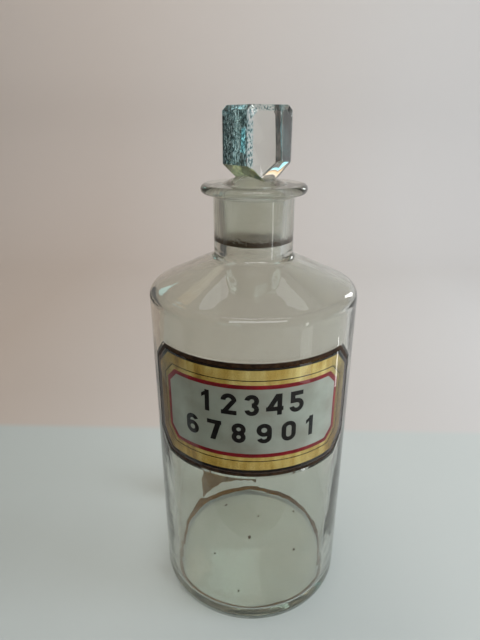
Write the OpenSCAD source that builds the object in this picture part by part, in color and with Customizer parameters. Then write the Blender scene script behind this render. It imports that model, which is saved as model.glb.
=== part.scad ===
// Shop round: a glass-stoppered chemist's bottle with a glass-covered label.
// Millimetres, +Z up. The origin is the centre of the foot, and the label faces -Y.

/* [Body] */
// Outer radius of the cylindrical body
body_r = 41; // [40:0.5:42]
// Height at which the straight wall ends
shoulder_z = 138.6; // [137:0.2:140]
// Radius of the rounding between wall and shoulder
shoulder_round = 5; // [4.5:0.1:6]
// Slope of the shoulder above the level, in degrees
shoulder_slope = 25; // [24:0.1:26]
// Radius of the rounding at the heel
heel_round = 3.7; // [3:0.1:4.5]
// Thickness of the wall just above the base
wall_low = 4.3; // [4:0.1:4.6]
// Thickness of the wall at the shoulder
wall_high = 2.6; // [2.4:0.1:2.8]
// Thickness of the base at its rim
base_t = 4.6; // [4:0.1:5.5]
// Height of the hollow pushed up under the base
punt_h = 1.8; // [1:0.1:2.5]

/* [Neck and lip] */
// Outer radius of the neck where it leaves the shoulder
neck_root_r = 15.3; // [15:0.1:15.5]
// Outer radius of the neck under the lip
neck_top_r = 15.2; // [15:0.1:15.5]
// Radius of the blend between shoulder and neck
neck_blend = 2.4; // [2:0.1:2.8]
// Height of the top of the lip
lip_z = 180.2; // [179.5:0.1:181]
// Outer radius of the lip
lip_r = 19.9; // [19:0.1:20.5]
// Radius of the rounding of the lip's edge
lip_round = 1.7; // [1.4:0.05:1.9]
// Slope of the lip's underside, in degrees
lip_slope = 20; // [15:1:25]

/* [Ground joint] */
// Radius of the plug at the top of the neck
plug_r = 11.9; // [11.6:0.05:12]
// Growth of the plug's radius for each millimetre of height
plug_taper = 0.05; // [0.04:0.005:0.06]
// Length of the plug inside the neck
plug_l = 21.5; // [20:0.5:22]
// Gap left between plug and neck by the grinding
joint_gap = 0.05; // [0.03:0.01:0.08]
// Height of the dome above the plug
dome_h = 3.1; // [2.5:0.1:3.5]

/* [Stopper head] */
// Width of the cut head
head_w = 20.4; // [19:0.2:22]
// Thickness of the cut head
head_t = 17.4; // [16:0.2:18]
// Height of the top of the head
head_z = 206.7; // [204:0.1:208]
// Height at which the right narrow side starts to slope in
head_waist_z = 188.2; // [187.5:0.1:189]
// How much lower the left narrow side's slope starts, as the hand cut it
waist_drop = 1.3; // [0:0.1:1.5]
// How far the front face's left edge lies in from the back face's, as the hand cut it
front_left_in = 2.2; // [0:0.1:2.6]
// How far the head stands off the neck's axis, to the right
head_off = 0.8; // [0:0.1:1]
// Slope of those lower faces, in degrees
head_slope = 42; // [40:1:44]
// Width of the bevel along the head's edges
bevel = 1.5; // [1:0.1:2]
// Height of the bevel around the top
top_bevel = 2; // [1.5:0.1:2.5]
// Turn of the head about the neck's axis, in degrees
head_turn = 30; // [0:1:45]

/* [Label panel] */
// Height of the middle of the label
label_z = 102.7; // [100:0.1:105]
// Half the width of the label glass, measured round the body
glass_hw = 43.3; // [42.5:0.1:43.6]
// Half the height of the label glass
glass_hh = 22.1; // [21.5:0.1:22.5]
// Leg of the cut at each corner of the label glass
glass_cut = 6.9; // [6:0.1:7.5]
// Depth of the panel sunk into the wall
recess_d = 1.3; // [1.1:0.05:1.4]
// Width of the cement showing round the label glass
cement_w = 1.5; // [1.2:0.1:1.8]
// Thickness of the cement under the paint
cement_t = 0.25; // [0.2:0.05:0.3]
// Thickness of the painted and gilded layer
paint_t = 0.1; // [0.08:0.01:0.12]
// How far the label glass stands proud of the wall
glass_proud = 0.1; // [0.05:0.05:0.2]

/* [Label painting] */
// Inset of the black outline's inner edge
outline_in = 1.3; // [1.1:0.1:1.5]
// Inset of the fine black line
hairline_in = 5.1; // [4.8:0.1:5.4]
// Width of the fine black line
hairline_w = 0.35; // [0.3:0.05:0.5]
// Inset of the red line's outer edge
red_in = 7; // [6.8:0.1:7.4]
// Width of the red line
red_w = 1.6; // [1.3:0.1:1.8]
// Height of the upper row of numerals
upper_h = 8.6; // [8.2:0.1:8.8]
// Height of the lower row of numerals
lower_h = 8.4; // [8.2:0.1:8.8]
// Width of the numerals' strokes
stroke = 1.75; // [1.6:0.05:1.85]

/* [Paper remnant] */
// Width of the paper left on the back, measured round the body
paper_w = 38; // [36:0.5:40]
// Height of its lower edge
paper_z = 6; // [5:0.1:8]
// Height of the paper
paper_h = 26; // [24:0.5:28]
// How far its left edge lies from the middle of the back, measured round the body
paper_left = 34; // [32:0.5:36]
// Thickness of the paper
paper_t = 0.15; // [0.1:0.05:0.2]

/* [Hidden] */
$fn = 96;

eps = 0.01;
arc_steps = 8;

// Foot and inside of the body
foot_ring = 3;
foot_r = body_r - heel_round - foot_ring;
inner_low_r = body_r - wall_low;
inner_high_r = body_r - wall_high;
inner_corner = 2.2;

// Shoulder: the arc's centre, and the straight flank that follows it
flank_turn = 90 - shoulder_slope;
flank_r = body_r - shoulder_round * (1 - cos(flank_turn));
flank_z = shoulder_z + shoulder_round * sin(flank_turn);

// Ground joint
plug_low_z = lip_z - plug_l;
plug_low_r = plug_r - plug_taper * plug_l;
plug_hollow_w = 1.5;
plug_hollow_h = 0.5;
bore_low_r = plug_low_r + joint_gap;
mouth_round = 0.7;
throat_blend = 4;
dome_r = (plug_r * plug_r + dome_h * dome_h) / (2 * dome_h);
dome_turn = acos(1 - dome_h / dome_r);

// Stopper head: the cut at its upper corners, and what of it is buried in the dome
head_corner = 1.8;
head_foot_z = lip_z - 0.5;
foot_hw = 0.5;
slice_t = 0.02;
face_drop = 0.8;
face_hw = head_w / 2 - bevel;
face_z = head_z - top_bevel;
face_waist_z = head_waist_z - face_drop;

// Lip: the fillet where its underside meets the neck
lip_fillet = 0.5;
lip_fillet_r = neck_top_r + lip_fillet;
lip_under_r = lip_r - lip_round * (1 - sin(lip_slope));
lip_under_z = lip_z - lip_round * (1 + cos(lip_slope));
lip_fillet_z = lip_under_z - (lip_under_r - lip_fillet_r) * tan(lip_slope) - lip_fillet / cos(lip_slope);

// Label panel, from the wall outwards
recess_r = body_r - recess_d;
paint_r = recess_r + cement_t;
cover_r = paint_r + paint_t;
cover_top_r = body_r + glass_proud;
cement_sunk = 0.25;
cement_top_r = body_r - cement_sunk;
outline_edge = 0.3;

// The cut at a corner shrinks by this share of the inset, down to the least cut
cut_share = 0.35;
least_cut = 2;

// Rows of numerals: height of the foot of the row, and the angle from one numeral to the next
upper_row_z = label_z + 2.9;
lower_row_z = label_z - 8.8;
upper_step = 11.6;
lower_step = 13;

// Points along an arc, from angle a0 to a1
function arc(cx, cy, r, a0, a1, n = arc_steps) =
    [for (i = [0 : n]) let (a = a0 + (a1 - a0) * i / n) [cx + r * cos(a), cy + r * sin(a)]];

// Height of the shoulder's flank at radius r, moved in by t across the glass
function flank(r, t = 0) = flank_z + (flank_r - r) * tan(shoulder_slope) - t / cos(shoulder_slope);

// Blend from the flank to an upright wall of radius r
function root_blend(r, blend, t = 0) =
    arc(r + blend, flank(r + blend, t) + blend / cos(shoulder_slope), blend, 270 - shoulder_slope, 180);

// Rise at radius r of a base dished by h inside its rim
function dish(r, h, rim) = h * (1 - pow(r / rim, 2));

// Distance across the front, square to it, that s round the body from its middle comes to
function across(s) = body_r * sin(s / body_r * 180 / PI);

outer_profile = concat(
    [for (i = [0 : 4]) let (r = foot_r * i / 4) [r, dish(r, punt_h, foot_r)]],
    arc(body_r - heel_round, heel_round, heel_round, -90, 0),
    arc(body_r - shoulder_round, shoulder_z, shoulder_round, 0, flank_turn),
    root_blend(neck_root_r, neck_blend),
    arc(lip_fillet_r, lip_fillet_z, lip_fillet, 180, 90 + lip_slope, 4),
    arc(lip_r - lip_round, lip_z - lip_round, lip_round, lip_slope - 90, 90, 12),
    [[0, lip_z]]);

inner_rim = inner_low_r - inner_corner;
inner_profile = concat(
    [for (i = [0 : 4]) let (r = inner_rim * i / 4) [r, base_t + dish(r, punt_h, inner_rim)]],
    arc(inner_rim, base_t + inner_corner, inner_corner, -90, 0),
    arc(body_r - shoulder_round, shoulder_z, shoulder_round - wall_high, 0, flank_turn),
    root_blend(bore_low_r, throat_blend, wall_high),
    [[bore_low_r, plug_low_z]],
    arc(plug_r + joint_gap + mouth_round, lip_z - mouth_round, mouth_round, 180, 90, 4),
    [[plug_r + joint_gap + mouth_round, lip_z + 1], [0, lip_z + 1]]);

// Hollow cylinder between two radii and two heights
module tube(r0, r1, z0, z1) {
    translate([0, 0, z0])
        difference() {
            cylinder(r = r1, h = z1 - z0);
            translate([0, 0, -1]) cylinder(r = r0, h = z1 - z0 + 2);
        }
}

// Upright prism that stands out towards -Y, from an outline drawn in X and Z
module towards_front() {
    rotate([90, 0, 0]) linear_extrude(body_r + 2) children();
}

// The same outline laid on the front of the body, between two radii
module on_front(r0, r1) {
    intersection() {
        tube(r0, r1, label_z - 30, label_z + 30);
        towards_front() children();
    }
}

// Outline of the label, inset evenly, with its corners cut at 45 degrees
module panel(inset = 0) {
    hw = across(glass_hw - inset);
    hh = glass_hh - inset;
    cut = max(glass_cut - cut_share * inset, least_cut);
    cw = hw - across(glass_hw - inset - cut);
    translate([0, label_z])
        polygon([[-hw, cut - hh], [cw - hw, -hh], [hw - cw, -hh], [hw, cut - hh],
            [hw, hh - cut], [hw - cw, hh], [cw - hw, hh], [-hw, hh - cut]]);
}

// Band of the label between two insets
module band(inset0, inset1) {
    difference() {
        panel(inset0);
        panel(inset1);
    }
}

// Numerals, drawn from plain strokes on a foot line at y = 0 and centred on x = 0
module stadium(h, r) {
    polygon(concat(arc(0, h - r, r, 0, 180, 12), arc(0, r, r, 180, 360, 12)));
}

module oval(h, r) {
    difference() {
        stadium(h, r);
        translate([0, stroke]) stadium(h - 2 * stroke, r - stroke);
    }
}

module ring(r, y) {
    difference() {
        polygon(arc(0, y, r, 0, 345, 23));
        polygon(arc(0, y, r - stroke, 0, 345, 23));
    }
}

module bend(r, y, a0, a1) {
    polygon(concat(arc(0, y, r, a0, a1, 12), arc(0, y, r - stroke, a1, a0, 12)));
}

module bar(x0, x1, y) {
    translate([x0, y]) square([x1 - x0, stroke]);
}

module post(x, y0, y1) {
    translate([x, y0]) square([stroke, y1 - y0]);
}

module leaning(x0, x1, y0, y1) {
    polygon([[x0, y0], [x0 + 1.2 * stroke, y0], [x1 + 1.2 * stroke, y1], [x1, y1]]);
}

// The shape that 6 and 9 share: a ring with one side carried on in a bend
module six(h, r) {
    ring(r, r);
    post(-r, r, h - r + eps);
    bend(r, h - r, 25, 180);
}

module numeral(digit, h) {
    r = (h + stroke) / 4;
    w = 0.33 * h;
    if (digit == 0) oval(h, w);
    if (digit == 1) {
        post(-stroke / 2, 0, h);
        polygon([[0, h - eps], [-w * 0.8, h * 0.8], [-w * 0.8, h * 0.62], [0, h * 0.8]]);
    }
    if (digit == 2) {
        bend(w, h - w, 0, 180);
        leaning(-w, w - 1.2 * stroke, stroke / 2, h - w + eps);
        bar(-w, w, 0);
    }
    if (digit == 3) {
        bend(r, h - r, -90, 170);
        bend(r, r, -170, 90);
    }
    if (digit == 4) {
        post(w * 0.3, 0, h);
        bar(-1.1 * w, 1.1 * w, h * 0.2);
        leaning(-1.1 * w, w * 0.3 - 0.3 * stroke, h * 0.2 + stroke / 2, h - eps);
    }
    if (digit == 5) {
        bar(-0.85 * w, 0.85 * w, h - stroke);
        bar(-0.85 * w, 0.1, 2 * w - stroke);
        post(-0.85 * w, 2 * w - stroke, h - eps);
        bend(w, w, -170, 90);
    }
    if (digit == 6) six(h, w);
    if (digit == 7) {
        bar(-w, w, h - stroke);
        leaning(-0.6 * w, w - 1.25 * stroke, 0, h - stroke / 2);
    }
    if (digit == 8) {
        ring(r, h - r);
        ring(r, r);
    }
    if (digit == 9) translate([0, h]) rotate(180) six(h, w);
}

// Each numeral is drawn square to the wall at its own place in the row
module numeral_prisms() {
    for (i = [0 : 4])
        rotate([0, 0, (i - 2) * upper_step])
            towards_front() translate([0, upper_row_z]) numeral(i + 1, upper_h);
    for (i = [0 : 5])
        rotate([0, 0, (i - 2.5) * lower_step])
            towards_front() translate([0, lower_row_z]) numeral((i + 6) % 10, lower_h);
}

module bottle() {
    color("honeydew", 0.45)
        difference() {
            rotate_extrude() polygon(outer_profile);
            rotate_extrude() polygon(inner_profile);
            on_front(recess_r, body_r + 1) panel(-cement_w);
        }
}

// Bed of brown cement, and the rim of it left showing round the label glass
module label_cement() {
    color("saddlebrown")
        union() {
            on_front(recess_r, paint_r) panel(-cement_w);
            on_front(paint_r, cement_top_r) band(-cement_w, 0);
        }
}

module label_glass() {
    color("lightcyan", 0.3) on_front(cover_r, cover_top_r) panel();
}

// The painting lies on the back of the label glass, each colour beside the next
module label_outline() {
    color("black") on_front(paint_r, cover_r) band(outline_edge, outline_in);
}

module gold_leaf_outer() {
    color("goldenrod") on_front(paint_r, cover_r) band(outline_in, hairline_in);
}

module label_hairline() {
    color("black") on_front(paint_r, cover_r) band(hairline_in, hairline_in + hairline_w);
}

module gold_leaf_inner() {
    color("goldenrod") on_front(paint_r, cover_r) band(hairline_in + hairline_w, red_in);
}

module red_line() {
    color("darkred") on_front(paint_r, cover_r) band(red_in, red_in + red_w);
}

module label_ground() {
    color("darkseagreen")
        difference() {
            on_front(paint_r, cover_r) panel(red_in + red_w);
            numeral_prisms();
        }
}

module label_numerals() {
    color("black")
        intersection() {
            tube(paint_r, cover_r, label_z - 13, label_z + 13);
            numeral_prisms();
        }
}

// Remnant of an older paper label, low on the back and a little to one side
module paper_remnant() {
    left = across(paper_left);
    right = across(paper_left - paper_w);
    top_z = paper_z + paper_h;
    color("tan")
        intersection() {
            tube(body_r, body_r + paper_t, paper_z - 2, top_z + 2);
            rotate([0, 0, 180])
                towards_front()
                    polygon([[left, paper_z], [left, top_z], [left * 0.5, top_z - 3], [right, top_z - 1],
                        [right, paper_z + 1], [left * 0.6, paper_z + 3.9], [left * 0.8, paper_z + 3.2]]);
        }
}

// Outline of the cut head in X and Z, its left side moved in; the foot of it is buried in the dome
module head_outline(half_w, top_z, waist_z, left_in) {
    left_w = half_w - left_in;
    left_z = waist_z - waist_drop;
    right_foot = max(half_w - (waist_z - head_foot_z) / tan(head_slope), foot_hw);
    left_foot = max(left_w - (left_z - head_foot_z) / tan(head_slope), max(foot_hw - left_in, -foot_hw));
    polygon([[-left_w, left_z], [-left_w, top_z - head_corner], [head_corner - left_w, top_z],
        [half_w - head_corner, top_z], [half_w, top_z - head_corner], [half_w, waist_z],
        [right_foot, head_foot_z], [-left_foot, head_foot_z]]);
}

// A thin slice of the head that starts at y; the hull of four of them is the head
module head_slice(y, half_w, top_z, waist_z, left_in) {
    translate([0, y + slice_t, 0])
        rotate([90, 0, 0])
            linear_extrude(slice_t)
                head_outline(half_w, top_z, waist_z, left_in);
}

// The plug, slightly hollow underneath, and the dome over it
plug_profile = concat(
    [[0, plug_low_z + plug_hollow_h], [plug_low_r - plug_hollow_w, plug_low_z + plug_hollow_h],
        [plug_low_r, plug_low_z], [plug_r, lip_z]],
    arc(0, lip_z + dome_h - dome_r, dome_r, 90 - dome_turn, 90));

module stopper() {
    color("azure", 0.6)
        union() {
            rotate_extrude() polygon(plug_profile);
            translate([head_off, 0])
                rotate([0, 0, head_turn])
                    hull() {
                        head_slice(-head_t / 2, face_hw, face_z, face_waist_z, front_left_in);
                        head_slice(bevel - head_t / 2, head_w / 2, head_z, head_waist_z, front_left_in);
                        head_slice(head_t / 2 - bevel - slice_t, head_w / 2, head_z, head_waist_z, 0);
                        head_slice(head_t / 2 - slice_t, face_hw, face_z, face_waist_z, 0);
                    }
        }
}

bottle();
label_cement();
label_glass();
label_outline();
gold_leaf_outer();
gold_leaf_inner();
label_hairline();
red_line();
label_ground();
label_numerals();
paper_remnant();
stopper();
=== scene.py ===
"""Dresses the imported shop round: blown glass, cut stopper, gilded label and what time has left on it.

Lengths are in millimetres inside the classes and become metres when a mesh is made.
"""

import logging
import math
from collections.abc import Callable
from dataclasses import dataclass, field
from enum import Enum, IntEnum

import bmesh
import bpy
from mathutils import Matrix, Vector, noise
from mathutils.geometry import delaunay_2d_cdt


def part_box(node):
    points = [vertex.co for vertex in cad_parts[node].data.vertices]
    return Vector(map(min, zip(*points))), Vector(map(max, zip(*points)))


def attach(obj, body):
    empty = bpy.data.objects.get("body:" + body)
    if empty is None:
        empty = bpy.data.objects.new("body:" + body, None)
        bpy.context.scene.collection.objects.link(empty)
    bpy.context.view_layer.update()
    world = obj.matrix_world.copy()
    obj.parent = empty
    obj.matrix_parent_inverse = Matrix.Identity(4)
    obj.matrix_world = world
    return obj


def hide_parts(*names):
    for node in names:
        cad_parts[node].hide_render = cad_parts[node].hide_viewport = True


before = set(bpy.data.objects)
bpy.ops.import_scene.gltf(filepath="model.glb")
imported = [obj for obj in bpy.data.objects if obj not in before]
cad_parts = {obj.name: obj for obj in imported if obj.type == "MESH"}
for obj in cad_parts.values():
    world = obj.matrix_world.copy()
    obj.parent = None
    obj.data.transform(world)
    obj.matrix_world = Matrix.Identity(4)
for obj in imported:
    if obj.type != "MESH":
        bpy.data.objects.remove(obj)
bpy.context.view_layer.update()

LOG = logging.getLogger("shop_round")
MM = 0.001

# Sockets of the Mix node, which share their names and so go by number.
FLOAT_A, FLOAT_B = 2, 3
COLOUR_A, COLOUR_B, COLOUR_OUT = 6, 7, 2

Profile = list[tuple[float, float]]
Corners = tuple[tuple[float, float, float], ...]
Stops = list[tuple[float, str]]
Material, Tree = bpy.types.Material, bpy.types.NodeTree
Node, Socket = bpy.types.Node, bpy.types.NodeSocket
Mesh, Piece = bmesh.types.BMesh, bpy.types.Object


class Body(Enum):
    """The two rigid bodies of the object."""

    BOTTLE = "bottle"
    STOPPER = "stopper"


class FlintFace(IntEnum):
    """Which finish a face of the stopper wears: its place in the stopper's list of materials. The narrow
    faces wear painted reflections (teal on the left sides, glints on the left bevels, olive underneath)
    and painted shade on the right sides.
    """

    WIDE = 0
    GROUND = 1
    LEFT = 2
    LEFT_BEVEL = 3
    UNDER = 4
    RIGHT = 5


class Shows(Enum):
    """Where a studio card is seen."""

    MIRRORED = "in reflections"
    THROUGH = "through the glass"
    BOTH = "in reflections and through the glass"


# ---------------------------------------------------------------- nodes and colours


def linear(hex_colour: str) -> tuple[float, float, float, float]:
    """Turn an sRGB hex colour into linear RGBA.

    Args:
        hex_colour: Six hex digits, such as "d8b25a".

    Returns:
        Linear red, green, blue and an alpha of 1.
    """
    parts = [int(hex_colour[i : i + 2], 16) / 255 for i in (0, 2, 4)]
    low, scale, offset, power = 0.04045, 12.92, 0.055, 2.4
    done = [p / scale if p <= low else ((p + offset) / (1 + offset)) ** power for p in parts]
    return (done[0], done[1], done[2], 1.0)


def add_node(
    tree: Tree, kind: str, inputs: dict | None = None, stops: Stops | None = None, **settings
) -> Node:
    """Add a shader node with its settings, values and links.

    Args:
        tree: The node tree that gets the node.
        kind: The node's type, such as "ShaderNodeTexNoise".
        inputs: Input name or index to a value, or to the socket or node that feeds it. A node feeds
            it from its first output.
        stops: A colour ramp's positions from 0 to 1, each with its hex colour.
        settings: Properties of the node itself.

    Returns:
        The new node.
    """
    node = tree.nodes.new(kind)
    for name, value in settings.items():
        setattr(node, name, value)
    for key, value in (inputs or {}).items():
        source = value.outputs[0] if isinstance(value, Node) else value
        if isinstance(source, Socket):
            tree.links.new(source, node.inputs[key])
        else:
            node.inputs[key].default_value = source
    if stops:
        elements = node.color_ramp.elements
        while len(elements) < len(stops):
            elements.new(0.5)
        for element, (position, colour) in zip(elements, stops):
            element.position = position
            element.color = linear(colour)
    return node


def new_material(name: str) -> tuple[Material, Tree]:
    """Make an empty node material and return it with its tree."""
    material = bpy.data.materials.new(name)
    material.use_nodes = True
    material.node_tree.nodes.clear()
    return material, material.node_tree


def place_along(tree: Tree, axis: str) -> Socket:
    """The surface's own place along an axis, in metres, in the object's frame."""
    place = add_node(tree, "ShaderNodeTexCoord").outputs["Object"]
    return add_node(tree, "ShaderNodeSeparateXYZ", {"Vector": place}).outputs[axis]


def noise_at(
    tree: Tree, size_mm: float, detail: float = 4, stretch: tuple[float, float, float] = (1, 1, 1)
) -> Socket:
    """Noise whose grains are about size_mm across.

    Args:
        tree: The material's tree.
        size_mm: Size of one grain.
        detail: Octaves of finer noise.
        stretch: How much longer a grain is along each axis.

    Returns:
        The noise factor's socket.
    """
    place = add_node(tree, "ShaderNodeTexCoord").outputs["Object"]
    scale = tuple(1 / s for s in stretch)
    placed = add_node(tree, "ShaderNodeMapping", {"Vector": place, "Scale": scale})
    grains = {"Vector": placed, "Scale": 1 / (size_mm * MM), "Detail": detail}
    return add_node(tree, "ShaderNodeTexNoise", grains).outputs["Fac"]


def relief(height: Node | Socket, depth_mm: float) -> dict:
    """What a bump node takes so that its relief is depth_mm from lowest to highest."""
    return {"Height": height, "Distance": depth_mm * MM, "Strength": 1.0}


# ---------------------------------------------------------------- finishes


def lamp_light_passes(tree: Tree, surface: Node, tint: str) -> Node:
    """Let lamp light go straight through a glass surface, tinted, so that its shadow is light.

    Args:
        tree: The material's tree.
        surface: The shader that eyes and reflections see.
        tint: What one surface leaves of white light.

    Returns:
        The shader to join to the output.
    """
    clear = add_node(tree, "ShaderNodeBsdfTransparent", {"Color": linear(tint)})
    is_lamp = add_node(tree, "ShaderNodeLightPath").outputs["Is Shadow Ray"]
    return add_node(tree, "ShaderNodeMixShader", {0: is_lamp, 1: surface, 2: clear})


def solid_finish(material: Material, tree: Tree, values: dict) -> Material:
    """Finish a material that hides what is under it.

    Args:
        material: The material.
        tree: Its tree.
        values: What its one principled shader takes.

    Returns:
        The same material.
    """
    shader = add_node(tree, "ShaderNodeBsdfPrincipled", values)
    add_node(tree, "ShaderNodeOutputMaterial", {"Surface": shader})
    return material


@dataclass(frozen=True)
class GroundGlass:
    """Glass ground with wet grit, so that plug and neck seal. Grey frost, browned by tincture."""

    name: str
    tint: str = "eef0ec"
    frost: str = "e6dfd0"
    ior: float = 1.5
    grit_mm: float = 0.5  # real grit is 0.05 mm; drawn coarser so that it shows
    grit_depth_mm: float = 0.01
    run_mm: float = 0.8
    roughness: tuple[float, float] = (0.12, 0.3)
    frost_share: float = 0.2
    stain: str = "3f2b14"
    stain_z: tuple[float, float] = (158.6, 163.0)
    stain_most: float = 0.92

    def surface(self, tree: Tree) -> Node:
        """Rough glass under frost, with turned scratches and a grainy brown band at its lower end.

        Args:
            tree: The material's tree.

        Returns:
            The finished shader.
        """
        scratches = noise_at(tree, self.grit_mm, 3, (9, 9, 1))
        runs = noise_at(tree, self.run_mm, 4, (1, 1, 14))
        grains = noise_at(tree, self.grit_mm, 4)
        low, high = self.roughness
        rough = {"Value": scratches, "To Min": low, "To Max": high}
        normal = add_node(tree, "ShaderNodeBump", relief(scratches, self.grit_depth_mm))
        glass = {
            "Base Color": linear(self.tint),
            "Roughness": add_node(tree, "ShaderNodeMapRange", rough),
            "IOR": self.ior,
            "Transmission Weight": 1.0,
            "Normal": normal,
        }
        shader = add_node(tree, "ShaderNodeBsdfPrincipled", glass)
        foot, top = self.stain_z
        fading = {
            "Value": place_along(tree, "Z"), "From Min": foot * MM, "From Max": top * MM,
            "To Min": 0.6, "To Max": 0.0,
        }
        fade = add_node(tree, "ShaderNodeMapRange", fading)
        grainy = add_node(tree, "ShaderNodeMath", {0: fade, 1: grains}, operation="ADD")
        edge = {"Value": grainy, "From Min": 0.7, "From Max": 0.86, "To Max": self.stain_most}
        stained = add_node(tree, "ShaderNodeMapRange", edge)
        chalky = {"Color": linear(self.frost), "Normal": normal}
        milk = add_node(tree, "ShaderNodeBsdfTranslucent", chalky)
        chalk = add_node(tree, "ShaderNodeBsdfDiffuse", chalky)
        frost = add_node(tree, "ShaderNodeMixShader", {0: 0.5, 1: milk, 2: chalk})
        streaky = {
            "Value": runs, "From Min": 0.3, "From Max": 0.7,
            "To Min": 0.6 * self.frost_share, "To Max": 1.4 * self.frost_share,
        }
        share = add_node(tree, "ShaderNodeMapRange", streaky)
        ground = add_node(tree, "ShaderNodeMixShader", {0: share, 1: shader, 2: frost})
        brown = add_node(tree, "ShaderNodeBsdfDiffuse", {"Color": linear(self.stain)})
        return add_node(tree, "ShaderNodeMixShader", {0: stained, 1: ground, 2: brown})

    def material(self) -> Material:
        """Ground glass by itself, for a part that is ground all over.

        Returns:
            The material.
        """
        material, tree = new_material(self.name)
        lit = lamp_light_passes(tree, self.surface(tree), "f0ede6")
        add_node(tree, "ShaderNodeOutputMaterial", {"Surface": lit})
        return material


@dataclass(frozen=True)
class BlownGlass:
    """Soda-lime or flint glass, fire-polished or cut. Clear, greyer where thick, with a dull bloom."""

    name: str
    tint: str = "edeee8"
    shadow_tint: str = "ffffff"
    ior: float = 1.5
    ripple_mm: float = 9.0
    ripple_depth_mm: float = 0.09
    bloom: float = 0.018
    bloom_colour: str = "b9b4a8"
    dust_mm: float = 12.0
    depth_tint: str | None = None
    density: float = 30.0
    painted_reflection_streaks: tuple[str, str] | None = None
    reflection_streak_mm: float = 0.9
    ground: GroundGlass | None = None
    ground_r: float = 0.0
    ground_z: float = 0.0

    def bore(self, tree: Tree) -> Node:
        """A mask that is 1 on the ground bore: within ground_r of the axis and above ground_z.

        Args:
            tree: The material's tree.

        Returns:
            The node that gives the mask.
        """
        place = add_node(tree, "ShaderNodeTexCoord").outputs["Object"]
        flat = add_node(tree, "ShaderNodeVectorMath", {0: place, 1: (1, 1, 0)}, operation="MULTIPLY")
        away = add_node(tree, "ShaderNodeVectorMath", {0: flat}, operation="LENGTH").outputs["Value"]
        near = add_node(tree, "ShaderNodeMath", {0: away, 1: self.ground_r * MM}, operation="LESS_THAN")
        lifted = {0: place_along(tree, "Z"), 1: self.ground_z * MM}
        above = add_node(tree, "ShaderNodeMath", lifted, operation="GREATER_THAN")
        return add_node(tree, "ShaderNodeMath", {0: near, 1: above}, operation="MULTIPLY")

    def material(self) -> Material:
        """Glass with ripples, a bloom of dust and the body colour of its thickness.

        Returns:
            The material.
        """
        material, tree = new_material(self.name)
        glass = {
            "Base Color": linear(self.tint), "Roughness": 0.0, "IOR": self.ior,
            "Transmission Weight": 1.0,
        }
        # Dark and light streaks in the base colour are painted reflections, for cut faces that break up
        # the room.
        if self.painted_reflection_streaks:
            dark, light = self.painted_reflection_streaks
            grain = {"Fac": noise_at(tree, self.reflection_streak_mm, 5, (1, 1, 2.2))}
            tones = [(0.4, dark), (0.5, self.tint), (0.6, light)]
            glass["Base Color"] = add_node(tree, "ShaderNodeValToRGB", grain, tones)
        ripples = noise_at(tree, self.ripple_mm, 2, (1, 1, 1.6))
        glass["Normal"] = add_node(tree, "ShaderNodeBump", relief(ripples, self.ripple_depth_mm))
        shader = add_node(tree, "ShaderNodeBsdfPrincipled", glass)
        dusting = {
            "Value": noise_at(tree, self.dust_mm), "From Min": 0.3, "From Max": 0.75,
            "To Min": 0.3 * self.bloom, "To Max": 1.7 * self.bloom,
        }
        share = add_node(tree, "ShaderNodeMapRange", dusting)
        film = add_node(tree, "ShaderNodeBsdfDiffuse", {"Color": linear(self.bloom_colour)})
        dusty = add_node(tree, "ShaderNodeMixShader", {0: share, 1: shader, 2: film})
        if self.ground:
            layers = {0: self.bore(tree), 1: dusty, 2: self.ground.surface(tree)}
            dusty = add_node(tree, "ShaderNodeMixShader", layers)
        ends = {"Surface": lamp_light_passes(tree, dusty, self.shadow_tint)}
        if self.depth_tint:
            body = {"Color": linear(self.depth_tint), "Density": self.density}
            ends["Volume"] = add_node(tree, "ShaderNodeVolumeAbsorption", body)
        add_node(tree, "ShaderNodeOutputMaterial", ends)
        return material


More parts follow.
